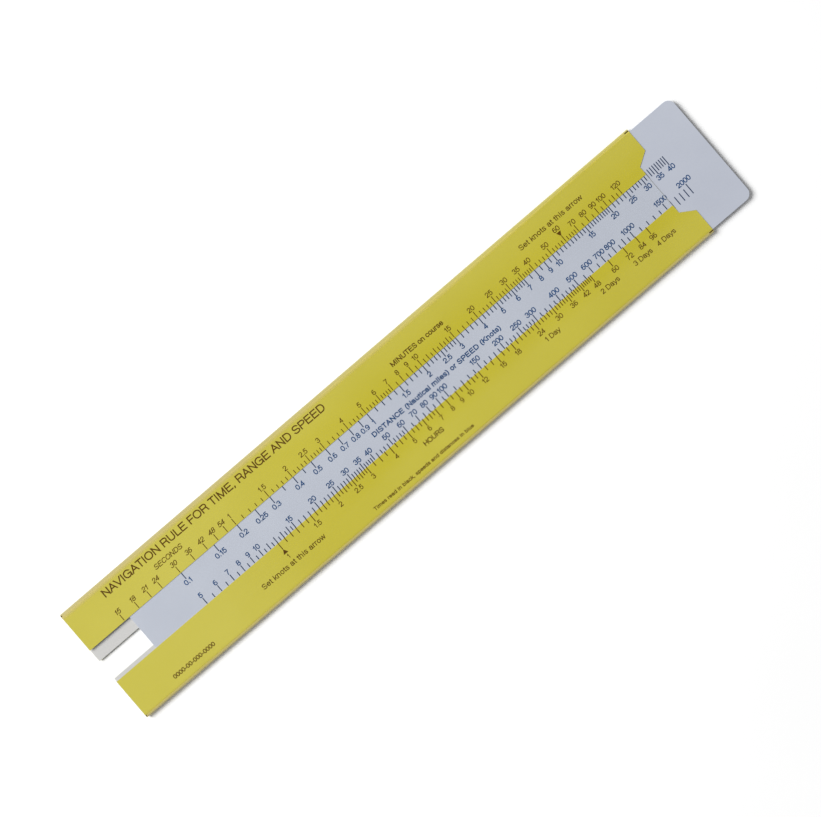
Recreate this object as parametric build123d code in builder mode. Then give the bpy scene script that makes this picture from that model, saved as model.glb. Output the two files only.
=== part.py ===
from build123d import *
from math import acos, cos, degrees, log10, sin
import os

# A flat navigator's slide rule. The sleeve is one clear plastic sheet, creased along both long edges
# into a flat C and printed on its inside. The slide is a white plastic sheet that runs in it.
#
# Frame, in millimetres: +X runs along the rule towards the end with the thumb notch, +Y runs across it
# towards the title edge, and +Z is up. The flaps behind rest on z = 0. The origin is below the middle
# of the whole rule, with its slide set to 12 knots.

# ---- driving dimensions ------------------------------------------------------------------------

SLEEVE_LENGTH = 280.0
SLEEVE_WIDTH = 50.4
SLEEVE_HEIGHT = 2.2
SHEET = 0.5

SLIDE_LENGTH = 280.4
SLIDE_WIDTH = 48.2
SLIDE_THICKNESS = 0.6
SLIDE_CORNER = 3.15
SLIDE_EDGE_ROUND = 0.1
DRAWN_OUT = 19.5

# The slide lies a little to one side in its channel and nearer to the front of the sleeve.
SLIDE_Y = -0.12
SLIDE_LIFT = 0.08

# The crease: the panel first bends gently, then turns tightly round the edge.
SHOULDER_RADIUS = 3.0
CREASE_RADIUS = 1.0

# Edges along the sleeve, as heights above its centre line
UPPER_WINDOW_EDGE = 7.75
LOWER_WINDOW_EDGE = -7.58
UPPER_BACKING_EDGE = 7.9
LOWER_BACKING_EDGE = -7.5
UPPER_FLAP_EDGE = 2.4
LOWER_FLAP_EDGE = -6.1

# The thumb notch in the front, at the +X end
NOTCH_DEPTH = 5.55
NOTCH_MOUTH_HALF = 14.7
NOTCH_FLOOR_HALF = 11.2

# The print under the sheet, as depths below the sleeve's outside
BOND = 0.01
BLACK_INK = (SHEET + BOND, SHEET + BOND + 0.02)
YELLOW_INK = (BLACK_INK[1], BLACK_INK[1] + 0.04)
WHITE_INK = (YELLOW_INK[1], YELLOW_INK[1] + 0.04)
SLIDE_INK = 0.03

# The scales. A decade is the length from 1 to 10, and the setting arrows stand at 60 minutes and 1 hour.
DECADE = 91.65
ARROW_FROM_SLEEVE_END = 235.35
SET_SPEED = 11.97
LOWER_TO_UPPER = 50.0

MINUTE_TICK_WIDTH = 0.3
HOUR_TICK_WIDTH = 0.34
SLIDE_TICK_WIDTH = 0.36
MINUTE_TICKS = {"long": 2.8, "middle": 2.2, "short": 1.6}
HOUR_TICKS = {"long": 3.15, "middle": 2.55, "short": 2.1}
SLIDE_UPPER_TICKS = {"long": 4.2, "short": 3.25}
SLIDE_LOWER_TICKS = {"long": 4.6, "short": 3.6}

# The heights of the lines that the ticks stand on
MINUTE_LINE = 8.0
HOUR_LINE = -7.3
SLIDE_UPPER_LINE = 8.9
SLIDE_LOWER_LINE = -9.3

ARROW_WIDTH = 2.1
ARROW_HEIGHT = 1.9

FOLD_MARK_Y = 24.45
FOLD_MARK_WIDTH = 0.4
FOLD_MARK_LONG = 1.9
FOLD_MARK_SHORT = 0.6

# ---- places worked out from them ---------------------------------------------------------------

UPPER = 1
LOWER = -1

SLEEVE_LEFT = -(DRAWN_OUT + SLIDE_LENGTH) / 2
SLEEVE_RIGHT = SLEEVE_LEFT + SLEEVE_LENGTH
SLIDE_LEFT = SLEEVE_LEFT + DRAWN_OUT
SLIDE_BOTTOM = (SLEEVE_HEIGHT - SLIDE_THICKNESS) / 2 + SLIDE_LIFT
SLIDE_TOP = SLIDE_BOTTOM + SLIDE_THICKNESS

# The shoulder arc meets the crease arc where their radii line up, at this turn from upright.
SHOULDER_TURN = acos((SHOULDER_RADIUS - SLEEVE_HEIGHT / 2) / (SHOULDER_RADIUS - CREASE_RADIUS))
CREASE_CENTRE_Y = SLEEVE_WIDTH / 2 - CREASE_RADIUS
SHOULDER_Y = CREASE_CENTRE_Y - (SHOULDER_RADIUS - CREASE_RADIUS) * sin(SHOULDER_TURN)

ARROW_60_X = SLEEVE_LEFT + ARROW_FROM_SLEEVE_END
MINUTE_X = ARROW_60_X - DECADE * log10(60)
HOUR_X = ARROW_60_X - DECADE * log10(LOWER_TO_UPPER)
SLIDE_UPPER_X = ARROW_60_X - DECADE * log10(SET_SPEED)
SLIDE_LOWER_X = SLIDE_UPPER_X - DECADE * log10(LOWER_TO_UPPER)

SECTION = Plane.YZ.offset(SLEEVE_LEFT)
BLACK_PLANE = Plane.XY.offset(SLEEVE_HEIGHT - BLACK_INK[1])


# ---- the folded layers -------------------------------------------------------------------------

def fold_curve(depth, front_edge, flap_edge, side):
    """One surface of the folded sleeve, this deep below its outside, from the front edge to the flap's."""
    turn = degrees(SHOULDER_TURN)
    shoulder = side * SHOULDER_Y
    bend = SHOULDER_RADIUS - depth
    Line((front_edge, SLEEVE_HEIGHT - depth), (shoulder, SLEEVE_HEIGHT - depth))
    CenterArc((shoulder, SLEEVE_HEIGHT - SHOULDER_RADIUS), bend, 90, -side * turn)
    CenterArc((side * CREASE_CENTRE_Y, SLEEVE_HEIGHT / 2), CREASE_RADIUS - depth,
              90 - side * turn, -side * (180 - 2 * turn))
    CenterArc((shoulder, SHOULDER_RADIUS), bend, 90 - side * (180 - turn), -side * turn)
    Line((shoulder, depth), (flap_edge, depth))


def fold_outline(depths, front_edge, flap_edge, side):
    """The closed outline of one layer that goes round one long edge of the sleeve."""
    outer, inner = depths
    fold_curve(outer, front_edge, flap_edge, side)
    fold_curve(inner, front_edge, flap_edge, side)
    Line((front_edge, SLEEVE_HEIGHT - outer), (front_edge, SLEEVE_HEIGHT - inner))
    Line((flap_edge, outer), (flap_edge, inner))


def printed_layer(depths, front_edge, flap_edge, side):
    """A layer of ink as long as the sleeve, cut away with it at the thumb notch."""
    with BuildPart() as layer:
        with BuildSketch(SECTION):
            with BuildLine():
                fold_outline(depths, front_edge, flap_edge, side)
            make_face()
        extrude(amount=SLEEVE_LENGTH)
        add(thumb_notch.part, mode=Mode.SUBTRACT)
    return layer.part


# ---- the scales --------------------------------------------------------------------------------

def steps(*spans):
    """The values of spans (first, last, step), each value once."""
    values = []
    for first, last, step in spans:
        count = round((last - first) / step)
        values += [round(first + step * index, 4) for index in range(count + 1)]
    return sorted(set(values))


def graduations(plane, unit_x, line_y, side, width, lengths, values, longer):
    """Ticks at the values of a logarithmic scale, standing on the line at line_y and away from it by side."""
    groups = dict(longer)
    named = {value for members in groups.values() for value in members}
    groups["short"] = [value for value in values if value not in named]
    with BuildSketch(plane) as ticks:
        for name, members in groups.items():
            centre_y = line_y + side * lengths[name] / 2
            places = [(unit_x + DECADE * log10(value), centre_y) for value in members]
            if places:
                with Locations(*places):
                    Rectangle(width, lengths[name])
    return ticks.sketch


def arrow(plane, x, apex_y, side):
    """A filled triangle whose apex touches the end of its tick."""
    base_y = apex_y + side * ARROW_HEIGHT
    with BuildSketch(plane) as head:
        with BuildLine():
            Polyline((x - ARROW_WIDTH / 2, base_y), (x + ARROW_WIDTH / 2, base_y), (x, apex_y), close=True)
        make_face()
    return head.sketch


# ---- the sleeve --------------------------------------------------------------------------------

# What the thumb notch takes away: a trapezoid through the front of the sleeve, wider at its mouth
with BuildPart() as thumb_notch:
    with BuildSketch(Plane.XY.offset(SLEEVE_HEIGHT / 2)):
        with BuildLine():
            Polyline(
                (SLEEVE_RIGHT - NOTCH_DEPTH, -NOTCH_FLOOR_HALF),
                (SLEEVE_RIGHT, -NOTCH_MOUTH_HALF),
                (SLEEVE_RIGHT, NOTCH_MOUTH_HALF),
                (SLEEVE_RIGHT - NOTCH_DEPTH, NOTCH_FLOOR_HALF),
                close=True,
            )
        make_face()
    extrude(amount=SLEEVE_HEIGHT)

# The clear sheet, in two halves that meet on the centre line of the front
with BuildPart() as sleeve_sheet:
    with BuildSketch(SECTION):
        with BuildLine():
            fold_outline((0, SHEET), 0, UPPER_FLAP_EDGE, UPPER)
        make_face()
        with BuildLine():
            fold_outline((0, SHEET), 0, LOWER_FLAP_EDGE, LOWER)
        make_face()
    extrude(amount=SLEEVE_LENGTH)
    add(thumb_notch.part, mode=Mode.SUBTRACT)

# The yellow, one layer each side of the window
with BuildPart() as upper_yellow_print:
    add(printed_layer(YELLOW_INK, UPPER_WINDOW_EDGE, UPPER_FLAP_EDGE, UPPER))

with BuildPart() as lower_yellow_print:
    add(printed_layer(YELLOW_INK, LOWER_WINDOW_EDGE, LOWER_FLAP_EDGE, LOWER))

# The white behind the yellow, which shows as a thin border along the lower edge of the window
with BuildPart() as upper_white_backing:
    add(printed_layer(WHITE_INK, UPPER_BACKING_EDGE, UPPER_FLAP_EDGE, UPPER))

with BuildPart() as lower_white_backing:
    add(printed_layer(WHITE_INK, LOWER_BACKING_EDGE, LOWER_FLAP_EDGE, LOWER))

# The seconds scale, in minutes: only its numbered ticks are drawn
SECONDS = [value / 60 for value in (15, 18, 21, 24, 30, 36, 42, 48, 54)]
with BuildPart() as seconds_graduations:
    extrude(
        graduations(BLACK_PLANE, MINUTE_X, MINUTE_LINE, UPPER, MINUTE_TICK_WIDTH, MINUTE_TICKS, [],
                    {"long": SECONDS}),
        amount=BLACK_INK[1] - BLACK_INK[0],
    )

MINUTE_VALUES = steps((1, 3, 0.1), (3, 7, 0.2), (7, 15, 0.5), (15, 40, 1), (40, 70, 2), (70, 120, 5))
MINUTE_LONG = [1, 1.5, 2, 2.5, 3, 4, 5, 6, 7, 8, 9, 10, 15, 20, 25, 30, 35, 40, 50, 60, 70, 80, 90, 100, 120]
MINUTE_MIDDLE = [11, 12, 13, 14, 110]
with BuildPart() as minutes_graduations:
    extrude(
        graduations(BLACK_PLANE, MINUTE_X, MINUTE_LINE, UPPER, MINUTE_TICK_WIDTH, MINUTE_TICKS,
                    MINUTE_VALUES, {"long": MINUTE_LONG, "middle": MINUTE_MIDDLE}),
        amount=BLACK_INK[1] - BLACK_INK[0],
    )

HOUR_VALUES = steps((1, 3, 1 / 12), (3, 7, 0.25), (7, 12, 0.5), (12, 48, 1))
HOUR_LONG = [1, 1.5, 2, 2.5, 3, 4, 5, 6, 7, 8, 9, 10, 12, 15, 18, 24, 30, 36, 42, 48, 60, 72, 84, 96]
HOUR_MIDDLE = [1.25, 1.75, 2.25, 2.75, 3.5, 4.5, 5.5, 6.5, 11]
with BuildPart() as hours_graduations:
    extrude(
        graduations(BLACK_PLANE, HOUR_X, HOUR_LINE, LOWER, HOUR_TICK_WIDTH, HOUR_TICKS,
                    HOUR_VALUES, {"long": HOUR_LONG, "middle": HOUR_MIDDLE}),
        amount=BLACK_INK[1] - BLACK_INK[0],
    )

# The setting arrows, at the ends of the ticks of 60 minutes and 1 hour
with BuildPart() as arrow_60_minutes:
    extrude(
        arrow(BLACK_PLANE, ARROW_60_X, MINUTE_LINE + MINUTE_TICKS["long"], UPPER),
        amount=BLACK_INK[1] - BLACK_INK[0],
    )

with BuildPart() as arrow_1_hour:
    extrude(
        arrow(BLACK_PLANE, HOUR_X, HOUR_LINE - HOUR_TICKS["long"], LOWER),
        amount=BLACK_INK[1] - BLACK_INK[0],
    )

# Short lines over the creases at the four corners, which are cut off short at the -X end
with BuildPart() as fold_marks:
    for start, length in ((SLEEVE_RIGHT - FOLD_MARK_LONG, FOLD_MARK_LONG), (SLEEVE_LEFT, FOLD_MARK_SHORT)):
        for side, edge in ((UPPER, UPPER_WINDOW_EDGE), (LOWER, LOWER_WINDOW_EDGE)):
            with BuildSketch(Plane.YZ.offset(start)):
                with BuildLine():
                    fold_outline(BLACK_INK, edge, edge, side)
                make_face()
                with Locations((side * FOLD_MARK_Y, SLEEVE_HEIGHT)):
                    Rectangle(FOLD_MARK_WIDTH, SLEEVE_HEIGHT, mode=Mode.INTERSECT)
            extrude(amount=length)

# ---- the slide ---------------------------------------------------------------------------------

# A flat sheet, its two corners at the drawn-out end rounded, its cut edges just broken
with BuildPart() as slide_sheet:
    with BuildSketch(Plane.XY.offset(SLIDE_BOTTOM)):
        with Locations((SLIDE_LEFT + SLIDE_LENGTH / 2, SLIDE_Y)):
            outline = Rectangle(SLIDE_LENGTH, SLIDE_WIDTH)
        fillet(outline.vertices().group_by(Axis.X)[-1], SLIDE_CORNER)
    extrude(amount=SLIDE_THICKNESS)
    rims = slide_sheet.faces().filter_by(Axis.Z).edges()
    fillet(rims, SLIDE_EDGE_ROUND)

SLIDE_UPPER_VALUES = steps((0.5, 3, 0.1), (3, 7, 0.2), (7, 20, 0.5), (20, 40, 1)) + [0.35, 0.45]
SLIDE_UPPER_LONG = [0.1, 0.15, 0.2, 0.25, 0.3, 0.4, 0.5, 0.6, 0.7, 0.8, 0.9, 1, 1.5, 2, 2.5, 3, 4, 5, 6, 7, 8,
                    9, 10, 15, 20, 25, 30, 35, 40]
with BuildPart() as slide_upper_graduations:
    extrude(
        graduations(Plane.XY.offset(SLIDE_TOP), SLIDE_UPPER_X, SLIDE_UPPER_LINE, LOWER, SLIDE_TICK_WIDTH,
                    SLIDE_UPPER_TICKS, SLIDE_UPPER_VALUES, {"long": SLIDE_UPPER_LONG}),
        amount=SLIDE_INK,
    )

SLIDE_LOWER_VALUES = steps((5, 15, 0.5), (15, 40, 1), (40, 60, 2), (60, 100, 5), (100, 300, 10),
                           (300, 500, 20), (500, 1000, 50), (1000, 2000, 100))
SLIDE_LOWER_LONG = [5, 6, 7, 8, 9, 10, 11, 12, 13, 14, 15, 20, 25, 30, 35, 40, 50, 60, 70, 80, 90, 100, 150,
                    200, 250, 300, 400, 500, 600, 700, 800, 900, 1000, 1500, 2000]
with BuildPart() as slide_lower_graduations:
    extrude(
        graduations(Plane.XY.offset(SLIDE_TOP), SLIDE_LOWER_X, SLIDE_LOWER_LINE, UPPER, SLIDE_TICK_WIDTH,
                    SLIDE_LOWER_TICKS, SLIDE_LOWER_VALUES, {"long": SLIDE_LOWER_LONG}),
        amount=SLIDE_INK,
    )

# ---- names and files ---------------------------------------------------------------------------

PIECES = {
    "sleeve_sheet": sleeve_sheet,
    "upper_yellow_print": upper_yellow_print,
    "lower_yellow_print": lower_yellow_print,
    "upper_white_backing": upper_white_backing,
    "lower_white_backing": lower_white_backing,
    "seconds_graduations": seconds_graduations,
    "minutes_graduations": minutes_graduations,
    "hours_graduations": hours_graduations,
    "arrow_60_minutes": arrow_60_minutes,
    "arrow_1_hour": arrow_1_hour,
    "fold_marks": fold_marks,
    "slide_sheet": slide_sheet,
    "slide_upper_graduations": slide_upper_graduations,
    "slide_lower_graduations": slide_lower_graduations,
}

os.makedirs("parts", exist_ok=True)
for label, piece in PIECES.items():
    piece.part.label = label
    export_step(piece.part, f"parts/{label}.step")
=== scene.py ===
from math import atan, ceil, cos, hypot, log10, radians, sin, tan

import bmesh
import bpy
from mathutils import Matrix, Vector


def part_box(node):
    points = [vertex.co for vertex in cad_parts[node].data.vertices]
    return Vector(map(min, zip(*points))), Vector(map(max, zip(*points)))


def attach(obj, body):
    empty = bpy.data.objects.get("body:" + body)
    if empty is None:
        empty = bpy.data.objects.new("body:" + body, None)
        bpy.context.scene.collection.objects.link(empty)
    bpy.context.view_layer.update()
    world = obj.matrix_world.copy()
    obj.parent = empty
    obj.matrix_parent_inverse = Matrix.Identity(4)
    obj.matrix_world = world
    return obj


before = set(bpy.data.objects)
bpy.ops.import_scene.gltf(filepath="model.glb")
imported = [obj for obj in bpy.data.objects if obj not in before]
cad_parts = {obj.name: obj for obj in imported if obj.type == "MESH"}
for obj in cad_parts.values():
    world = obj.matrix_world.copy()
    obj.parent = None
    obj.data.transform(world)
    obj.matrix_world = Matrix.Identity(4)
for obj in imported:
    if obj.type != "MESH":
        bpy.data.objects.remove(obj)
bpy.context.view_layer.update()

MM = 0.001

# ---- places read from the frame ----------------------------------------------------------------

sleeve_low, sleeve_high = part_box("sleeve_sheet")
arrow_60_low, arrow_60_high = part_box("arrow_60_minutes")
arrow_1h_low, arrow_1h_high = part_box("arrow_1_hour")
black_low, black_high = (corner.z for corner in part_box("minutes_graduations"))
blue_low, blue_high = (corner.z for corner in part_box("slide_upper_graduations"))
ink_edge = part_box("upper_yellow_print")[1].y

# The thumb notch, a trapezoid cut into the +X end of the front,
# and the marks over the creases at the four corners
NOTCH_DEPTH = 5.55 * MM
NOTCH_MOUTH_HALF = 14.7 * MM
NOTCH_FLOOR_HALF = 11.2 * MM
FOLD_MARK_Y = 24.45 * MM
FOLD_MARK_HALF = 0.25 * MM
FOLD_MARK_LONG = 1.9 * MM
FOLD_MARK_SHORT = 0.6 * MM

# The scales: the arrows stand at 60 minutes and 1 hour, 50 times apart on the slide,
# which is set to about 12 knots
LOWER_TO_UPPER = 50.0
SET_SPEED = 11.97
arrow_60_x = (arrow_60_low.x + arrow_60_high.x) / 2
arrow_1h_x = (arrow_1h_low.x + arrow_1h_high.x) / 2
decade = (arrow_60_x - arrow_1h_x) / log10(LOWER_TO_UPPER)
minute_x = arrow_60_x - decade * log10(60)
hour_x = arrow_1h_x
slide_upper_x = arrow_60_x - decade * log10(SET_SPEED)
slide_lower_x = slide_upper_x - decade * log10(LOWER_TO_UPPER)


def along(distance):
    """x at this many millimetres from the sleeve's -X end."""
    return sleeve_low.x + distance * MM


# ---- node helpers ------------------------------------------------------------------------------

class Nodes:
    """A material's node tree, with short ways to add and join nodes."""

    def __init__(self, name):
        self.material = bpy.data.materials.new(name)
        self.material.use_nodes = True
        self.tree = self.material.node_tree
        self.tree.nodes.clear()
        self.output = self.add("ShaderNodeOutputMaterial")
        self.place = self.add("ShaderNodeTexCoord").outputs["Object"]

    def add(self, kind, inputs=None, **settings):
        node = self.tree.nodes.new(kind)
        for key, value in settings.items():
            setattr(node, key, value)
        for key, value in (inputs or {}).items():
            if isinstance(value, bpy.types.NodeSocket):
                self.tree.links.new(value, node.inputs[key])
            else:
                node.inputs[key].default_value = value
        return node

    def noise(self, scale, detail=2.0, roughness=0.5, vector=None):
        """Noise over the piece, scale being features per metre."""
        inputs = {"Vector": vector or self.place, "Scale": scale, "Detail": detail, "Roughness": roughness}
        return self.add("ShaderNodeTexNoise", inputs).outputs["Fac"]

    def stretched(self, scale, turn=0.0):
        """Object coordinates scaled by (x, y, z) and turned about z, for scratches and grain."""
        inputs = {"Vector": self.place, "Scale": scale, "Rotation": (0, 0, turn)}
        return self.add("ShaderNodeMapping", inputs).outputs["Vector"]

    def span(self, value, low, high, to_low=0.0, to_high=1.0):
        """A value taken from one range to another, and kept inside it."""
        inputs = {"Value": value, "From Min": low, "From Max": high, "To Min": to_low, "To Max": to_high}
        return self.add("ShaderNodeMapRange", inputs, clamp=True).outputs["Result"]

    def math(self, operation, first, second=0.5):
        return self.add("ShaderNodeMath", {0: first, 1: second}, operation=operation).outputs[0]

    def tones(self, value, *colours):
        """Colours spread evenly over a value from 0 to 1."""
        ramp = self.add("ShaderNodeValToRGB", {"Fac": value})
        while len(ramp.color_ramp.elements) < len(colours):
            ramp.color_ramp.elements.new(0.5)
        for index, colour in enumerate(colours):
            ramp.color_ramp.elements[index].position = index / (len(colours) - 1)
            ramp.color_ramp.elements[index].color = (*colour, 1)
        return ramp.outputs["Color"]

    def mix(self, factor, first, second, blend_type="MIX"):
        """Two colours blended by a factor from 0 to 1."""
        inputs = {"Factor": factor, 6: first, 7: second}
        return self.add("ShaderNodeMix", inputs, data_type="RGBA", blend_type=blend_type).outputs[2]

    def bump(self, height, distance, strength):
        inputs = {"Height": height, "Distance": distance, "Strength": strength}
        return self.add("ShaderNodeBump", inputs).outputs["Normal"]

    def show(self, shader):
        self.tree.links.new(shader.outputs[0], self.output.inputs["Surface"])
        return self.material


def linear(red, green, blue):
    """A screen colour, 0 to 255, as the linear colour that shaders take."""
    levels = (red / 255, green / 255, blue / 255)
    return tuple(c / 12.92 if c <= 0.04 else ((c + 0.055) / 1.055) ** 2.4 for c in levels)


# ---- materials ---------------------------------------------------------------------------------

LIGHT_GAIN = 0.84


def lit(red, green, blue):
    """The linear colour of a surface that shows this screen colour under the studio light."""
    return tuple(c * LIGHT_GAIN for c in linear(red, green, blue))


YELLOW_TONES = (lit(199, 187, 51), lit(206, 194, 61))
# The second pair is a painted sheen: the print's yellow paler and whiter where the lamp's reflection falls.
PAINTED_SHEEN_TONES = (lit(204, 193, 77), lit(211, 201, 89))
# Crease tones, a painted highlight: the upper pales as it turns and greys at its edge, the lower pales
# outward
UPPER_CREASE_HIGHLIGHT_TONES = (lit(223, 208, 137), lit(192, 181, 131))
LOWER_CREASE_HIGHLIGHT_TONES = (lit(212, 198, 104), lit(240, 224, 152))
WHITE_TONES = (lit(209, 208, 206), lit(217, 216, 215))
BLACK_TONES = (linear(80, 52, 0), linear(94, 66, 4))
BLUE_TONES = (linear(0, 54, 98), linear(2, 68, 121))
TICK_TONES = (linear(20, 42, 72), linear(32, 56, 92))
SLIDE_SHADE = lit(192, 197, 210)
SLIDE_LIGHT = lit(199, 204, 216)

# Grain of the screen's mesh, in features per metre
MESH_GRAIN = 2600

# How far the surfaces' roughness stands up
SHEET_RELIEF = 0.02 * MM
PRINT_RELIEF = 0.012 * MM
SLIDE_RELIEF = 0.015 * MM

# How much the clear sheet mirrors
HEAD_ON_GLOSS = 0.004
GRAZING_GLOSS = 0.4

# The sheet's cut end: a painted grey line of shade and dark reflection along it, strong over the window and
# weak where print lies under it
CUT_SHADE_EDGE = 0.36 * MM
CUT_SHADE_CORE = 0.12 * MM
CUT_SHADE_OVER_WINDOW = 0.85
CUT_SHADE_OVER_PRINT = 0.05
WINDOW_INSIDE = 7.4 * MM
WINDOW_OUTSIDE = 8.0 * MM
CUT_FACE_BODY = 0.3
CUT_FACE_GREYNESS = 0.45

# The bands round the creases, where the sheet shows the print it wraps with a painted highlight over it.
# The upper one narrows towards the +X end
UPPER_BAND_WIDE = 2.1 * MM
UPPER_BAND_NARROW = 1.1 * MM
LOWER_BAND = 0.8 * MM
# The upper crease's painted highlight is whitish towards the -X end and yellower towards the +X end
PALE_HIGHLIGHT_TINT = (0.87, 0.87, 0.87)
YELLOW_HIGHLIGHT_TINT = (0.975, 1.0, 0.645)


def from_cut_edge(n, across, along_x):
    """Distance in metres from a point of the sheet to its cut end, round the thumb notch. across is |y|."""
    slope = (NOTCH_MOUTH_HALF - NOTCH_FLOOR_HALF) / NOTCH_DEPTH
    floor_x = sleeve_high.x - NOTCH_DEPTH
    to_end = n.math("SUBTRACT", sleeve_high.x, along_x)
    to_floor = n.math("SUBTRACT", floor_x, along_x)
    flank = n.math("MULTIPLY", n.math("SUBTRACT", along_x, floor_x), slope)
    beside = n.math("SUBTRACT", n.math("SUBTRACT", across, NOTCH_FLOOR_HALF), flank)
    to_flank = n.math("MULTIPLY", beside, cos(atan(slope)))
    return n.math("MINIMUM", to_end, n.math("MAXIMUM", to_floor, to_flank))


def over_fold_mark(n, across, along_x):
    """1 over the four crease marks, and 0 elsewhere."""
    off_mark = n.math("ABSOLUTE", n.math("SUBTRACT", across, FOLD_MARK_Y))
    level = n.math("LESS_THAN", off_mark, FOLD_MARK_HALF)
    long_end = n.math("GREATER_THAN", along_x, sleeve_high.x - FOLD_MARK_LONG)
    short_end = n.math("LESS_THAN", along_x, sleeve_low.x + FOLD_MARK_SHORT)
    return n.math("MULTIPLY", level, n.math("MAXIMUM", long_end, short_end))


def crease_print_and_highlight(n, spot):
    """How far the creased edges show the print they wrap round, and its tone there under a painted
    highlight.

    spot is the place on the sheet. The upper band is the wider one and has the paler painted highlight, and
    it narrows and turns yellower towards the +X end."""
    height = spot.outputs["Y"]
    along_x = spot.outputs["X"]
    wide, narrow = ink_edge - UPPER_BAND_WIDE, ink_edge - UPPER_BAND_NARROW
    start = n.span(along_x, along(190), along(250), wide, narrow)
    upper = n.span(height, start, ink_edge)
    lower = n.span(height, -ink_edge + LOWER_BAND, -ink_edge)
    marks = over_fold_mark(n, n.math("ABSOLUTE", height), along_x)
    share = n.math("MULTIPLY", n.math("MAXIMUM", upper, lower), n.math("SUBTRACT", 1.0, marks))
    # Painted highlight: pale where the upper crease turns, greyer at its very edge, whiter towards the -X
    # end
    turning = n.tones(n.span(height, ink_edge - 0.6 * MM, sleeve_high.y), *UPPER_CREASE_HIGHLIGHT_TONES)
    tint = n.tones(n.span(along_x, along(60), along(250)), PALE_HIGHLIGHT_TINT, YELLOW_HIGHLIGHT_TINT)
    above = n.mix(1.0, turning, tint, "MULTIPLY")
    below = n.tones(n.span(height, -ink_edge + 0.7 * MM, -ink_edge - 0.2 * MM), *LOWER_CREASE_HIGHLIGHT_TONES)
    tone = n.mix(n.math("GREATER_THAN", height, 0.0), below, above)
    grain = n.tones(n.noise(MESH_GRAIN, 2), (0.93, 0.93, 0.92), (1.0, 1.0, 1.0))
    return share, n.mix(1.0, tone, grain, "MULTIPLY")


def on_cut_face(n, across):
    """1 on the upright faces where the sheet was cut, and 0 elsewhere. across is |y|."""
    facing = n.add("ShaderNodeSeparateXYZ", {0: n.add("ShaderNodeTexCoord").outputs["Normal"]})
    end = n.math("GREATER_THAN", n.math("ABSOLUTE", facing.outputs["X"]), 0.5)
    upright = n.math("LESS_THAN", n.math("ABSOLUTE", facing.outputs["Z"]), 0.3)
    side = n.math("MULTIPLY", upright, n.math("LESS_THAN", across, ink_edge - LOWER_BAND))
    return n.math("MAXIMUM", end, side)


def clear_sheet():
    """Clear PVC: nearly nothing from in front, with a thin haze, gloss and fine scuffs.

    Its creases carry the yellow of the print they wrap round, under a painted highlight. A painted grey
    line of shade and dark reflection lies along its cut end, and its cut faces are slightly grey."""
    n = Nodes("clear_pvc")
    scuffs = n.noise(1.0, 4, 0.6, n.stretched((60, 900, 900), radians(12)))
    rubs = n.noise(1.0, 4, 0.6, n.stretched((80, 1100, 1100), radians(-38)))
    cloud = n.noise(28, 3)
    lines = n.math("MULTIPLY", n.span(scuffs, 0.62, 0.78), n.span(cloud, 0.42, 0.62))
    crossing = n.math("MULTIPLY", n.span(rubs, 0.66, 0.8), n.span(cloud, 0.6, 0.4))
    worn = n.math("MAXIMUM", lines, crossing)
    rough = n.math("ADD", n.span(cloud, 0.3, 0.7, 0.13, 0.2), n.math("MULTIPLY", worn, 0.15))
    orange_peel = n.bump(n.noise(420, 1), SHEET_RELIEF, 0.25)

    spot = n.add("ShaderNodeSeparateXYZ", {0: n.place})
    across = n.math("ABSOLUTE", spot.outputs["Y"])
    # The creases show the print they wrap, with a painted highlight over it
    crease, crease_tone_and_highlight = crease_print_and_highlight(n, spot)
    haze = n.math("ADD", n.span(cloud, 0.3, 0.7, 0.001, 0.004), n.math("MULTIPLY", worn, 0.025))
    # A painted grey line of shade and dark reflection along the sheet's cut end
    cut_edge_shade = n.span(from_cut_edge(n, across, spot.outputs["X"]), CUT_SHADE_EDGE, CUT_SHADE_CORE)
    cut_face = on_cut_face(n, across)
    shade_share = n.span(across, WINDOW_INSIDE, WINDOW_OUTSIDE, CUT_SHADE_OVER_WINDOW, CUT_SHADE_OVER_PRINT)
    shade_body = n.math("MULTIPLY", cut_edge_shade, shade_share)
    greyed = n.math("MAXIMUM", shade_body, n.math("MULTIPLY", cut_face, CUT_FACE_BODY))
    body = n.math("MAXIMUM", n.math("MAXIMUM", haze, greyed), crease)

    shade_greyness = n.math("SUBTRACT", cut_edge_shade, cut_face)
    greyness = n.math("MAXIMUM", shade_greyness, n.math("MULTIPLY", cut_face, CUT_FACE_GREYNESS))
    # Whitish for the haze; grey for the painted shade along the cut end and for the frosted cut faces
    haze_and_edge_shade = n.tones(greyness, linear(232, 236, 236), linear(120, 122, 126))
    shade = n.mix(n.span(crease, 0.0, 0.02), haze_and_edge_shade, crease_tone_and_highlight)
    see = n.add("ShaderNodeBsdfTransparent", {"Color": (0.987, 0.988, 0.986, 1)})
    solid = n.add("ShaderNodeBsdfDiffuse", {"Color": shade})
    veil = n.add("ShaderNodeMixShader", {"Fac": body, 1: see.outputs[0], 2: solid.outputs[0]})
    inputs = {"Color": (1, 1, 1, 1), "Roughness": rough, "Normal": orange_peel}
    gloss = n.add("ShaderNodeBsdfGlossy", inputs)
    slant = n.math("POWER", n.add("ShaderNodeLayerWeight", {"Blend": 0.5}).outputs["Facing"], 5.0)
    mirror = n.span(slant, 0.0, 1.0, HEAD_ON_GLOSS, GRAZING_GLOSS)
    sheet = n.add("ShaderNodeMixShader", {"Fac": mirror, 1: veil.outputs[0], 2: gloss.outputs[0]})
    lamp = n.add("ShaderNodeLightPath").outputs["Is Shadow Ray"]
    lit_through = n.math("MULTIPLY", lamp, n.math("LESS_THAN", across, ink_edge))
    inputs = {"Fac": lit_through, 1: sheet.outputs[0], 2: see.outputs[0]}
    return n.show(n.add("ShaderNodeMixShader", inputs))


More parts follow.
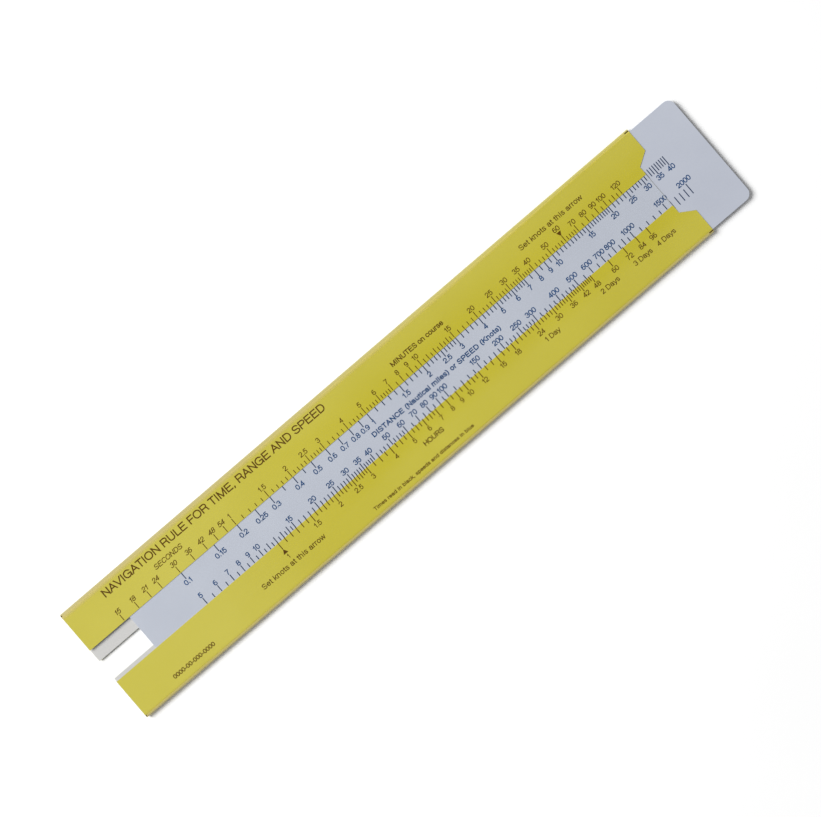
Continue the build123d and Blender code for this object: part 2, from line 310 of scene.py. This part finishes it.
def screen_print(name, tones, roughness=0.5, gloss=0.05, sheen_tones=None):
    """Opaque screen print: tones drift over centimetres, with mesh grain of a fraction of a millimetre.

    Where sheen tones are given, the print turns paler to them towards the sleeve's -X end, a painted sheen
    where the lamp's reflection falls, and partly paler towards its long edges."""
    n = Nodes(name)
    drift = n.noise(22, 3)
    grain = n.noise(MESH_GRAIN, 2, 0.7)
    mottle = n.math("ADD", n.math("MULTIPLY", drift, 0.7), n.math("MULTIPLY", grain, 0.3))
    blend = n.span(mottle, 0.3, 0.7)
    colour = n.tones(blend, *tones)
    if sheen_tones:
        spot = n.add("ShaderNodeSeparateXYZ", {0: n.place})
        # Painted sheen: paler print towards the sleeve's -X end, where the lamp's reflection falls; partly
        # paler towards the long edges.
        end = n.span(spot.outputs["X"], along(135), along(50))
        above = n.span(spot.outputs["Y"], 10.5 * MM, 22 * MM, 0.0, 0.7)
        below = n.span(spot.outputs["Y"], -10.5 * MM, -16 * MM, 0.0, 0.45)
        paler_share = n.math("MAXIMUM", end, n.math("MAXIMUM", above, below))
        colour = n.mix(paler_share, colour, n.tones(blend, *sheen_tones))
    rough = n.span(grain, 0.3, 0.7, roughness - 0.08, roughness + 0.08)
    inputs = {"Base Color": colour, "Roughness": rough, "Normal": n.bump(grain, PRINT_RELIEF, 0.4)}
    shader = n.add("ShaderNodeBsdfPrincipled", inputs)
    shader.inputs["Specular IOR Level"].default_value = gloss
    return n.show(shader)


def slide_plastic():
    """Cool white calendered PVC with a satin face, faint cloudiness and fine rubs along its travel."""
    n = Nodes("slide_pvc")
    cloud = n.noise(35, 4, 0.55)
    fleck = n.noise(1500, 2, 0.6)
    rubs = n.noise(1.0, 5, 0.65, n.stretched((25, 1500, 900), radians(1.5)))
    blend = n.math("ADD", n.math("MULTIPLY", cloud, 0.7), n.math("MULTIPLY", fleck, 0.3))
    colour = n.tones(n.span(blend, 0.3, 0.7), SLIDE_SHADE, SLIDE_LIGHT)
    rubbed = n.math("MULTIPLY", n.span(rubs, 0.6, 0.8), 0.12)
    rough = n.math("ADD", n.span(cloud, 0.3, 0.7, 0.32, 0.4), rubbed)
    height = n.math("ADD", n.math("MULTIPLY", fleck, 0.5), n.math("MULTIPLY", rubs, 0.5))
    inputs = {"Base Color": colour, "Roughness": rough, "Normal": n.bump(height, SLIDE_RELIEF, 0.35)}
    shader = n.add("ShaderNodeBsdfPrincipled", inputs)
    shader.inputs["Specular IOR Level"].default_value = 0.3
    return n.show(shader)


def tabletop():
    """Plain pale ground with the faintest mottle."""
    n = Nodes("pale_ground")
    colour = n.tones(n.noise(9, 3), (0.93, 0.93, 0.93), (0.96, 0.96, 0.96))
    inputs = {"Base Color": colour, "Roughness": 0.8}
    return n.show(n.add("ShaderNodeBsdfPrincipled", inputs))


FINISHES = {
    "sleeve_sheet": clear_sheet(),
    "slide_sheet": slide_plastic(),
}
yellow = screen_print("yellow_print", YELLOW_TONES, sheen_tones=PAINTED_SHEEN_TONES)
white = screen_print("white_print", WHITE_TONES, 0.55)
black = screen_print("black_print", BLACK_TONES, 0.6)
blue = screen_print("blue_print", BLUE_TONES, 0.45, gloss=0.2)
blue_ticks = screen_print("blue_tick_print", TICK_TONES, 0.45, gloss=0.2)
for node in ("upper_yellow_print", "lower_yellow_print"):
    FINISHES[node] = yellow
for node in ("upper_white_backing", "lower_white_backing"):
    FINISHES[node] = white
for node in ("seconds_graduations", "minutes_graduations", "hours_graduations",
             "arrow_60_minutes", "arrow_1_hour", "fold_marks"):
    FINISHES[node] = black
for node in ("slide_upper_graduations", "slide_lower_graduations"):
    FINISHES[node] = blue_ticks

for node, finish in FINISHES.items():
    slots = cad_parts[node].material_slots
    if not slots:
        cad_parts[node].data.materials.append(finish)
    for slot in slots:
        slot.material = finish


# ---- the lettering: a light sans drawn with one pen --------------------------------------------

SQUARED = 0.9


def arc(x, y, across, up, start, end):
    """Points of a slightly squared oval stroke, angles in degrees from the right, counter-clockwise."""
    count = max(3, ceil(abs(end - start) / 15))
    points = []
    for index in range(count + 1):
        angle = radians(start + (end - start) * index / count)
        c, s = cos(angle), sin(angle)
        points.append((x + across * abs(c) ** SQUARED * (1 if c > 0 else -1),
                       y + up * abs(s) ** SQUARED * (1 if s > 0 else -1)))
    return points


LEFT = 0.155
STEM = [(LEFT, 0), (LEFT, 1)]
LOW_STEM = [(0.13, 0), (0.13, 1)]
X_STEM = [(0.13, 0), (0.13, 0.73)]
LOW_BOWL = arc(0.4, 0.365, 0.27, 0.365, 0, 360)
BACK_BOWL = arc(0.375, 0.365, 0.27, 0.365, 0, 360)

# Each letter: its width, then its pen strokes, with capitals and figures one unit high
GLYPHS = {
    " ": (0.387,),
    "A": (0.93, [(0.07, 0), (0.465, 1)], [(0.86, 0), (0.465, 1)], [(0.2, 0.33), (0.73, 0.33)]),
    "C": (1.0, arc(0.52, 0.5, 0.4, 0.5, 38, 322)),
    "D": (1.0, [(LEFT, 0), (LEFT, 1), (0.46, 1)] + arc(0.46, 0.5, 0.42, 0.5, 90, -90)[1:] + [(LEFT, 0)]),
    "E": (0.93, [(0.82, 1), (LEFT, 1), (LEFT, 0), (0.84, 0)], [(LEFT, 0.53), (0.78, 0.53)]),
    "F": (0.85, [(0.79, 1), (LEFT, 1), (LEFT, 0)], [(LEFT, 0.51), (0.71, 0.51)]),
    "G": (1.084, arc(0.53, 0.5, 0.43, 0.5, 40, 335), [(0.56, 0.46), (0.95, 0.46), (0.95, 0)]),
    "H": (1.0, STEM, [(0.85, 0), (0.85, 1)], [(LEFT, 0.53), (0.85, 0.53)]),
    "I": (0.387, [(0.193, 0), (0.193, 1)]),
    "K": (0.93, STEM, [(LEFT, 0.34), (0.81, 1)], [(0.39, 0.56), (0.87, 0)]),
    "L": (0.774, [(LEFT, 1), (LEFT, 0), (0.73, 0)]),
    "M": (1.16, STEM, [(1.005, 0), (1.005, 1)], [(LEFT, 1), (0.58, 0)], [(1.005, 1), (0.58, 0)]),
    "N": (1.0, STEM, [(0.85, 0), (0.85, 1)], [(LEFT, 1), (0.85, 0)]),
    "O": (1.084, arc(0.542, 0.5, 0.44, 0.5, 0, 360)),
    "P": (0.93, STEM, [(LEFT, 1), (0.55, 1)] + arc(0.55, 0.73, 0.29, 0.27, 90, -90)[1:] + [(LEFT, 0.46)]),
    "R": (1.0, STEM, [(LEFT, 1), (0.56, 1)] + arc(0.56, 0.735, 0.29, 0.265, 90, -90)[1:] + [(LEFT, 0.47)],
          [(0.5, 0.47)] + arc(0.6, 0.27, 0.22, 0.2, 90, 0) + [(0.84, 0.06), (0.87, 0)]),
    "S": (0.93, arc(0.465, 0.745, 0.32, 0.255, 20, 270) + arc(0.465, 0.245, 0.35, 0.245, 90, -160)[1:]),
    "T": (0.85, [(0.04, 1), (0.81, 1)], [(0.425, 1), (0.425, 0)]),
    "U": (1.0, [(LEFT, 1), (LEFT, 0.34)] + arc(0.5, 0.34, 0.345, 0.34, 180, 360)[1:] + [(0.845, 1)]),
    "V": (0.93, [(0.06, 1), (0.465, 0)], [(0.87, 1), (0.465, 0)]),
    "a": (0.774, arc(0.36, 0.53, 0.24, 0.2, 165, 0) + [(0.6, 0.1), (0.63, 0.01), (0.71, 0)],
          [(0.6, 0.45), (0.36, 0.4)] + arc(0.31, 0.2, 0.21, 0.2, 90, 270) + [(0.44, 0.02), (0.59, 0.18)]),
    "b": (0.774, LOW_STEM, LOW_BOWL),
    "c": (0.696, arc(0.375, 0.365, 0.27, 0.365, 42, 318)),
    "d": (0.774, [(0.645, 0), (0.645, 1)], BACK_BOWL),
    "e": (0.774, [(0.12, 0.385), (0.655, 0.385)] + arc(0.387, 0.365, 0.275, 0.365, 4, 318)),
    "h": (0.774, LOW_STEM, arc(0.375, 0.47, 0.245, 0.26, 180, 0) + [(0.62, 0)]),
    "i": (0.31, [(0.155, 0), (0.155, 0.73)], [(0.155, 0.95), (0.155, 0.97)]),
    "k": (0.696, LOW_STEM, [(0.13, 0.22), (0.6, 0.73)], [(0.32, 0.43), (0.63, 0)]),
    "l": (0.31, [(0.155, 0), (0.155, 1)]),
    "m": (1.16, X_STEM, arc(0.345, 0.5, 0.215, 0.23, 180, 0) + [(0.56, 0)],
          arc(0.79, 0.5, 0.23, 0.23, 180, 0) + [(1.02, 0)]),
    "n": (0.774, X_STEM, arc(0.375, 0.47, 0.245, 0.26, 180, 0) + [(0.62, 0)]),
    "o": (0.774, arc(0.387, 0.365, 0.28, 0.365, 0, 360)),
    "p": (0.774, [(0.13, -0.29), (0.13, 0.73)], LOW_BOWL),
    "r": (0.464, X_STEM, arc(0.38, 0.45, 0.25, 0.27, 180, 85)),
    "s": (0.696, arc(0.345, 0.545, 0.215, 0.185, 25, 270) + arc(0.345, 0.18, 0.24, 0.18, 90, -157)[1:]),
    "t": (0.387, [(0.18, 0.93), (0.18, 0.13)] + arc(0.29, 0.13, 0.11, 0.13, 180, 270) + [(0.35, 0)],
          [(0.03, 0.7), (0.34, 0.7)]),
    "u": (0.774, [(0.145, 0.73), (0.145, 0.26)] + arc(0.385, 0.26, 0.24, 0.26, 180, 360),
          [(0.63, 0.73), (0.63, 0)]),
    "w": (1.006, [(0.05, 0.73), (0.27, 0)], [(0.503, 0.73), (0.27, 0)], [(0.503, 0.73), (0.735, 0)],
          [(0.955, 0.73), (0.735, 0)]),
    "y": (0.696, [(0.05, 0.73), (0.345, 0)], [(0.645, 0.73), (0.345, -0.1), (0.27, -0.24), (0.12, -0.27)]),
    "0": (0.774, arc(0.387, 0.5, 0.28, 0.5, 0, 360)),
    "1": (0.6, [(0.38, 0), (0.38, 1)], [(0.13, 0.75), (0.29, 0.79), (0.36, 0.96)]),
    "2": (0.774, arc(0.38, 0.71, 0.265, 0.29, 170, -35)
          + [(0.22, 0.2), (0.11, 0.04), (0.11, 0), (0.67, 0)]),
    "3": (0.774, arc(0.375, 0.755, 0.245, 0.245, 160, -90), arc(0.375, 0.255, 0.275, 0.255, 90, -165)),
    "4": (0.774, [(0.52, 0), (0.52, 1)], [(0.52, 0.97), (0.08, 0.25)], [(0.06, 0.25), (0.7, 0.25)]),
    "5": (0.774, [(0.64, 1), (0.21, 1), (0.14, 0.5)], arc(0.375, 0.33, 0.275, 0.33, 125, -155)),
    "6": (0.774, arc(0.39, 0.3, 0.27, 0.3, 0, 360), arc(0.43, 0.5, 0.31, 0.5, 62, 195)),
    "7": (0.774, [(0.09, 1), (0.66, 1), (0.45, 0.64), (0.33, 0.3), (0.28, 0)]),
    "8": (0.774, arc(0.387, 0.755, 0.235, 0.245, 0, 360), arc(0.387, 0.26, 0.28, 0.26, 0, 360)),
    "9": (0.774, arc(0.384, 0.7, 0.27, 0.3, 0, 360), arc(0.344, 0.5, 0.31, 0.5, 242, 375)),
    ".": (0.33, [(0.165, 0), (0.165, 0.03)]),
    ",": (0.387, [(0.2, 0.03), (0.2, 0), (0.15, -0.13)]),
    "-": (0.464, [(0.08, 0.35), (0.384, 0.35)]),
    "(": (0.464, arc(0.66, 0.365, 0.48, 0.75, 128, 232)),
    ")": (0.464, arc(-0.196, 0.365, 0.48, 0.75, 52, -52)),
}


def text_width(text, tracking):
    return sum(GLYPHS[letter][0] + tracking for letter in text) - tracking


# Strokes steeper than this end level with the line of writing. Others end square, this many half widths
# past their last point.
LEVEL_END_STEEPNESS = 0.55
SQUARE_END_REACH = 0.6

# Sharp corners are cut off at this many half widths.
MITRE_LIMIT = 1.6

SAME_POINT = 1e-6


def edge_points(points, pen):
    """The two edges of a stroke drawn with a pen this wide: mitred corners, ends cut level or square."""
    closed = hypot(points[0][0] - points[-1][0], points[0][1] - points[-1][1]) < SAME_POINT
    if closed:
        points = points[:-1]
    count = len(points)
    half = pen / 2
    lefts, rights = [], []
    for index, (x, y) in enumerate(points):
        before = Vector(points[index - 1]) if closed or index else None
        after = Vector(points[(index + 1) % count]) if closed or index < count - 1 else None
        here = Vector((x, y))
        into = (here - before).normalized() if before is not None else None
        out = (after - here).normalized() if after is not None else None
        if into is None or out is None:
            way = out if into is None else into
            normal = Vector((-way.y, way.x)) * half
            outward = -way if into is None else way
            level = abs(way.y) > LEVEL_END_STEEPNESS
            for side, edge in ((1, lefts), (-1, rights)):
                corner = here + normal * side
                if level:
                    reach = (here.y + (half if outward.y > 0 else -half) - corner.y) / outward.y
                else:
                    reach = half * SQUARE_END_REACH
                edge.append(corner + outward * reach)
        else:
            mean = (into + out).normalized()
            normal = Vector((-mean.y, mean.x))
            spread = min(MITRE_LIMIT, 1 / max(0.2, normal.dot(Vector((-into.y, into.x)))))
            lefts.append(here + normal * half * spread)
            rights.append(here - normal * half * spread)
    return lefts, rights, closed


def draw_stroke(mesh, lefts, rights, closed, low, high):
    """A stroke as a closed flat solid between two heights."""
    rings = [[mesh.verts.new((p.x, p.y, z)) for p, z in ((a, low), (b, low), (b, high), (a, high))]
             for a, b in zip(lefts, rights)]
    pairs = list(zip(rings, rings[1:] + rings[:1])) if closed else list(zip(rings, rings[1:]))
    for one, two in pairs:
        for corner in range(4):
            following = (corner + 1) % 4
            mesh.faces.new((one[corner], one[following], two[following], two[corner]))
    if not closed:
        mesh.faces.new(rings[0][::-1])
        mesh.faces.new(rings[-1])


HAIR = 0.002 * MM


def write(mesh, text, x, y, cap, pen, low, high, align=0.5, slant=0.0, tracking=0.0, squeeze=1.0):
    """Lettering at x on baseline y. align is the share of its width left of x, and pen the stroke's width
    over the height of a capital.

    Strokes of one letter lie a hair under each other, so that no two faces share a plane."""
    lean = tan(radians(slant))
    start = x - align * text_width(text, tracking) * cap * squeeze
    for letter in text:
        for depth, stroke in enumerate(GLYPHS[letter][1:]):
            inset = [(px * squeeze + lean * py, pen / 2 + py * (1 - pen)) for px, py in stroke]
            lefts, rights, closed = edge_points(inset, pen)
            lefts = [Vector((start + p.x * cap, y + p.y * cap)) for p in lefts]
            rights = [Vector((start + p.x * cap, y + p.y * cap)) for p in rights]
            draw_stroke(mesh, lefts, rights, closed, low, high - depth * HAIR)
        start += (GLYPHS[letter][0] + tracking) * cap * squeeze


def lettering(name, body, finish, lines):
    """One printed piece made of several lines, each the keyword arguments of write."""
    low, high = (black_low, black_high) if body == "sleeve" else (blue_low, blue_high)
    mesh = bmesh.new()
    for line in lines:
        write(mesh, low=low, high=high, **line)
    bmesh.ops.recalc_face_normals(mesh, faces=mesh.faces)
    data = bpy.data.meshes.new(name)
    mesh.to_mesh(data)
    mesh.free()
    piece = bpy.data.objects.new(name, data)
    bpy.context.scene.collection.objects.link(piece)
    data.materials.append(finish)
    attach(piece, body)
    return piece


def figures(values, unit_x, baseline, cap, pen, factor=1.0, **style):
    """Lines for the figures of a scale, each centred on its tick.

    factor turns a figure into the unit of the scale's ticks."""
    style = dict(style, y=baseline, cap=cap, pen=pen)
    return [dict(text=f"{value:g}", x=unit_x + decade * log10(value * factor), **style) for value in values]


TITLE_PEN = 0.15
LABEL_PEN = 0.145
HEAVY_PEN = 0.17
FIGURE_PEN = 0.145
SMALL_PEN = 0.18
BLUE_PEN = 0.165
BLUE_LABEL_PEN = 0.192
FIGURE = 2.0 * MM
BLUE_FIGURE = 2.1 * MM
TIGHT = -0.03
LABEL_SLANT = 12

SECOND_VALUES = (15, 18, 21, 24, 30, 36, 42, 48, 54)
MINUTE_VALUES = (1, 1.5, 2, 2.5, 3, 4, 5, 6, 7, 8, 9, 10, 15, 20, 25, 30, 35, 40, 50, 70, 80, 90, 100, 120)
HOUR_VALUES = (1.5, 2, 2.5, 3, 4, 5, 6, 7, 8, 9, 10, 12, 15, 18, 24, 30, 36, 42, 48, 60, 72, 84, 96)
SLIDE_UPPER_VALUES = (0.1, 0.15, 0.2, 0.25, 0.3, 0.4, 0.5, 0.6, 0.7, 0.8, 0.9, 1, 1.5, 2, 2.5, 3, 4, 5,
                      6, 7, 8, 9, 10, 15, 20, 25, 30, 35, 40)
SLIDE_LOWER_VALUES = (5, 6, 7, 8, 9, 10, 15, 20, 25, 30, 35, 40, 50, 60, 70, 80, 90, 100, 150, 200, 250,
                      300, 400, 500, 600, 700, 800, 1000, 1500, 2000)

UPPER_BASELINE = 11.1 * MM
LOWER_BASELINE = -12.7 * MM
SLIDE_UPPER_BASELINE = 2.6 * MM
SLIDE_LOWER_BASELINE = -4.45 * MM


def sleeve_lettering():
    def print_black(name, *lines):
        return lettering(name, "sleeve", black, lines)

    print_black("title", dict(text="NAVIGATION RULE FOR TIME, RANGE AND SPEED", x=along(17.2), y=18.9 * MM,
                              cap=3.25 * MM, pen=TITLE_PEN, align=0, tracking=-0.007))
    print_black("seconds_label", dict(text="SECONDS", x=along(45.0), y=14.5 * MM, cap=2.05 * MM,
                                      pen=LABEL_PEN, slant=LABEL_SLANT, squeeze=0.95))
    print_black("minutes_label", dict(text="MINUTES on course", x=along(167.85), y=14.5 * MM, cap=2.05 * MM,
                                      pen=HEAVY_PEN, squeeze=0.968))
    print_black("hours_label", dict(text="HOURS", x=along(150.1), y=-16.05 * MM, cap=FIGURE, pen=HEAVY_PEN,
                                    squeeze=0.94))
    print_black("speed_note_upper", dict(text="Set knots at this arrow", x=arrow_60_x, y=16.3 * MM,
                                         cap=2.1 * MM, pen=LABEL_PEN, tracking=0.035))
    print_black("speed_note_lower", dict(text="Set knots at this arrow", x=arrow_1h_x, y=-17.6 * MM,
                                         cap=2.1 * MM, pen=LABEL_PEN, tracking=0.035))
    print_black("ink_note", dict(text="Times read in black, speeds and distances in blue", x=along(139.8),
                                 y=-22.15 * MM, cap=1.45 * MM, pen=SMALL_PEN, tracking=0.06))
    print_black("number_line", dict(text="0000-00-000-0000", x=along(17.3), y=-21.2 * MM, cap=1.75 * MM,
                                    pen=SMALL_PEN, align=0))
    print_black("seconds_figures", *figures(SECOND_VALUES, minute_x, UPPER_BASELINE, FIGURE, FIGURE_PEN,
                                            factor=1 / 60, slant=LABEL_SLANT, tracking=TIGHT))
    print_black("minutes_figures",
                *figures(MINUTE_VALUES, minute_x, UPPER_BASELINE, FIGURE, FIGURE_PEN, tracking=TIGHT),
                *figures((60,), minute_x, 13.1 * MM, FIGURE, FIGURE_PEN, tracking=TIGHT))
    print_black("hours_figures",
                *figures(HOUR_VALUES, hour_x, LOWER_BASELINE, FIGURE, FIGURE_PEN, tracking=TIGHT),
                *figures((1,), hour_x, -14.6 * MM, 1.8 * MM, FIGURE_PEN))
    half_figure = GLYPHS["0"][0] / 2 * FIGURE
    style = dict(y=-16.05 * MM, cap=FIGURE, pen=LABEL_PEN, align=0)
    days = [dict(text=text, x=hour_x + decade * log10(24 * day) - half_figure, **style)
            for day, text in enumerate(("1 Day", "2 Days", "3 Days", "4 Days"), start=1)]
    print_black("day_labels", *days)


def slide_lettering():
    def print_blue(name, *lines):
        return lettering(name, "slide", blue, lines)

    print_blue("slide_upper_figures", *figures(SLIDE_UPPER_VALUES, slide_upper_x, SLIDE_UPPER_BASELINE,
                                               BLUE_FIGURE, BLUE_PEN, tracking=TIGHT))
    print_blue("slide_lower_figures", *figures(SLIDE_LOWER_VALUES, slide_lower_x, SLIDE_LOWER_BASELINE,
                                               BLUE_FIGURE, BLUE_PEN, tracking=TIGHT))
    print_blue("slide_label", dict(text="DISTANCE (Nautical miles) or SPEED (Knots)", x=along(164.3),
                                   y=-1.0 * MM, cap=2.05 * MM, pen=BLUE_LABEL_PEN, tracking=0.051))


sleeve_lettering()
slide_lettering()


# ---- the ground, light and camera --------------------------------------------------------------

GROUND_HALF = 3.0
GROUND_DROP = 0.4 * MM


def ground():
    """A wide plain floor. The rule stands a little off it, which gives its shadow its width."""
    mesh = bmesh.new()
    turns = ((-1, -1), (1, -1), (1, 1), (-1, 1))
    corners = [mesh.verts.new((x * GROUND_HALF, y * GROUND_HALF, -GROUND_DROP)) for x, y in turns]
    mesh.faces.new(corners)
    data = bpy.data.meshes.new("ground")
    mesh.to_mesh(data)
    mesh.free()
    data.materials.append(tabletop())
    floor = bpy.data.objects.new("ground", data)
    bpy.context.scene.collection.objects.link(floor)


SKY_STRENGTH = 0.31
KEY_TOWARDS = (-0.8, 0.8, 1.0)
KEY_DISTANCE = 3.0
KEY_SIZE = 1.7
KEY_POWER = 123


def light():
    """An even white sky, and one large lamp from the upper left."""
    world = bpy.data.worlds.new("studio")
    bpy.context.scene.world = world
    world.use_nodes = True
    sky = world.node_tree.nodes["Background"]
    sky.inputs["Color"].default_value = (1, 1, 1, 1)
    sky.inputs["Strength"].default_value = SKY_STRENGTH

    data = bpy.data.lights.new("key", "AREA")
    data.size = KEY_SIZE
    data.energy = KEY_POWER
    lamp = bpy.data.objects.new("key", data)
    way = Vector(KEY_TOWARDS).normalized()
    lamp.location = way * KEY_DISTANCE
    lamp.rotation_euler = way.to_track_quat("Z", "Y").to_euler()
    bpy.context.scene.collection.objects.link(lamp)


CAMERA_TURN = radians(40.6)
LENS = 100.0
SENSOR = 36.0
VIEW_WIDTH = 307.5 * MM
VIEW_SHIFT = (0.34 * MM, -1.49 * MM)


def camera():
    """Straight above the rule, turned so that it rises to the right."""
    data = bpy.data.cameras.new("camera")
    data.lens = LENS
    data.sensor_width = SENSOR
    data.clip_start = 0.01
    data.clip_end = 20
    eye = bpy.data.objects.new("camera", data)
    height = VIEW_WIDTH * LENS / SENSOR
    eye.location = (*VIEW_SHIFT, sleeve_high.z + height)
    eye.rotation_euler = (0, 0, -CAMERA_TURN)
    bpy.context.scene.collection.objects.link(eye)
    bpy.context.scene.camera = eye
    bpy.context.scene.view_settings.view_transform = "Standard"


ground()
light()
camera()
